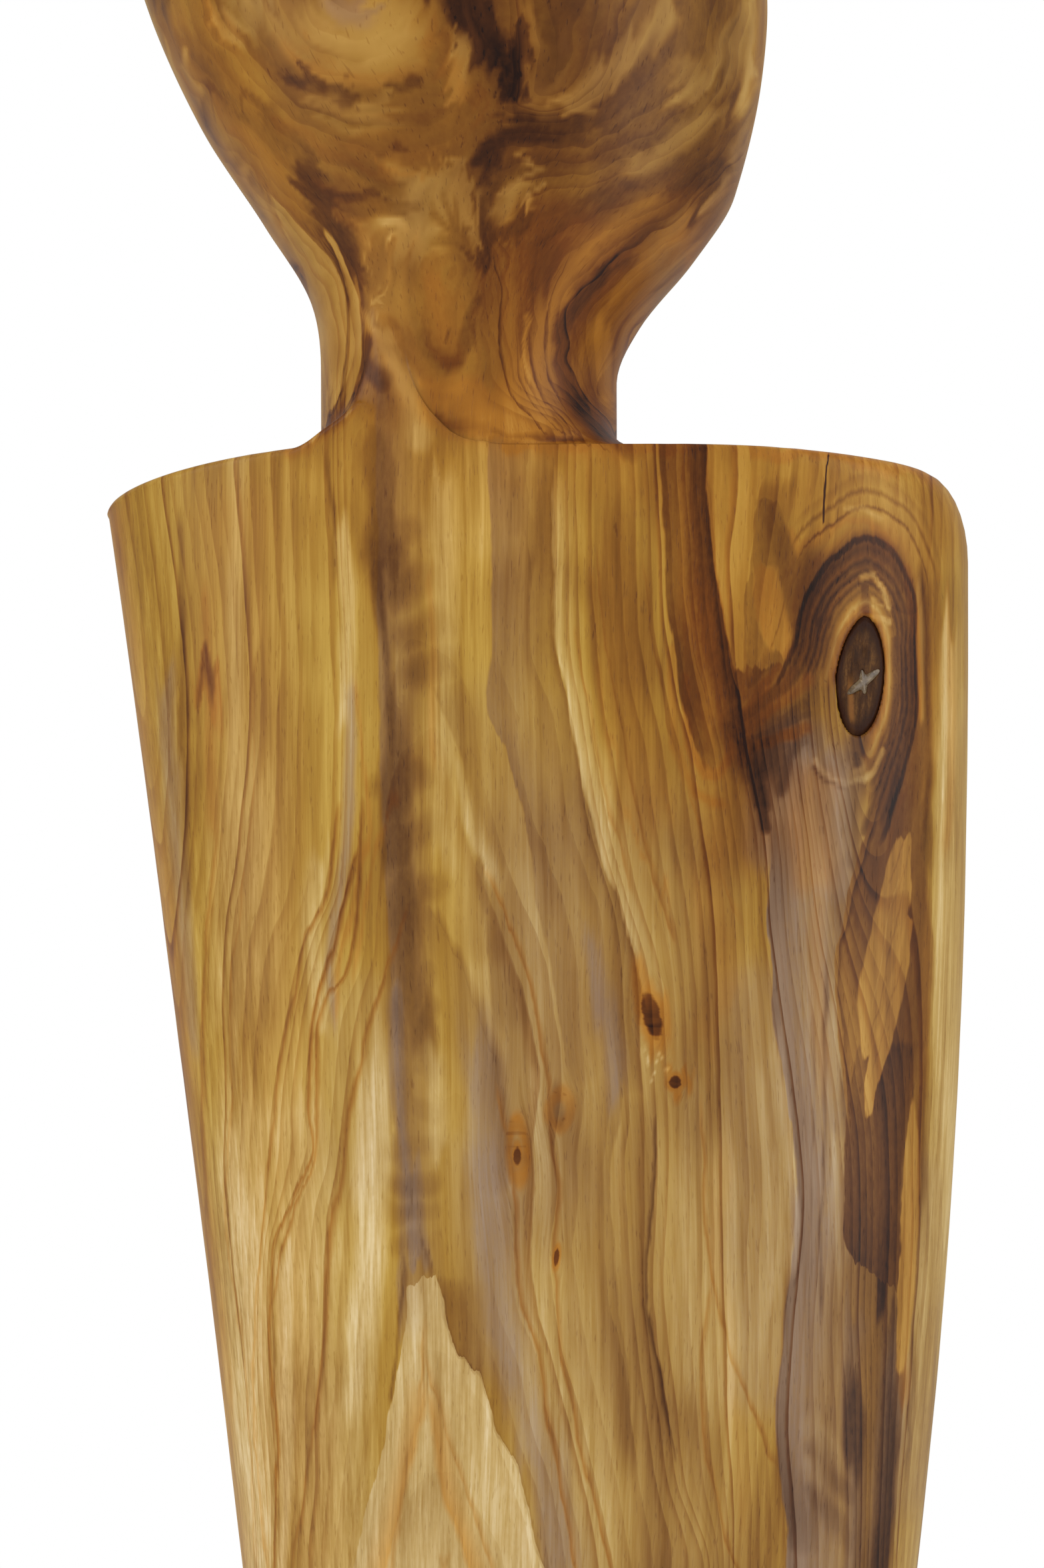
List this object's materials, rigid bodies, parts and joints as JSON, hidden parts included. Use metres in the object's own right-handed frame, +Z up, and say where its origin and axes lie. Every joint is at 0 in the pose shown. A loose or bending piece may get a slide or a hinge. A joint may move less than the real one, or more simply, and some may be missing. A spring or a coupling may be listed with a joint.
{
  "type": "carved wooden figure on a plinth",
  "caption": "Smooth tapering wooden torso with a short neck and a plain egg-shaped head, lifting off a pin in a dark rectangular plinth.",
  "frame": {"origin": "centre of the underside of the felt under the plinth", "axes": "+Z up, the figure faces -Y, +X to the right of someone who looks at its front"},
  "size_m": [0.188, 0.124, 0.553],
  "materials": {
    "carved_wood": "sanded fine and oiled, satin",
    "knot_wood": "dark end grain, oiled",
    "filler_resin": "grey translucent resin, sanded flush",
    "brass": "drawn tube, dull",
    "steel": "turned",
    "plinth_wood": "dark stained hardwood, satin",
    "felt": "pressed felt"
  },
  "bodies": {
    "stand": {"plinth": "plinth_wood", "base_felt": "felt", "mounting_pin": "steel", "pin_washer": "steel", "pin_nut": "steel", "turning_stop": "steel"},
    "figure": {"carved_figure": "carved_wood", "dead_knot": "knot_wood", "crack_resin": "filler_resin", "pin_sleeve": "brass"}
  },
  "joints": [
    {"name": "lift_off", "type": "slide", "parent": "stand", "child": "figure", "axis": [0, 0, 1], "range_m": [0, 0.072]}
  ]
}
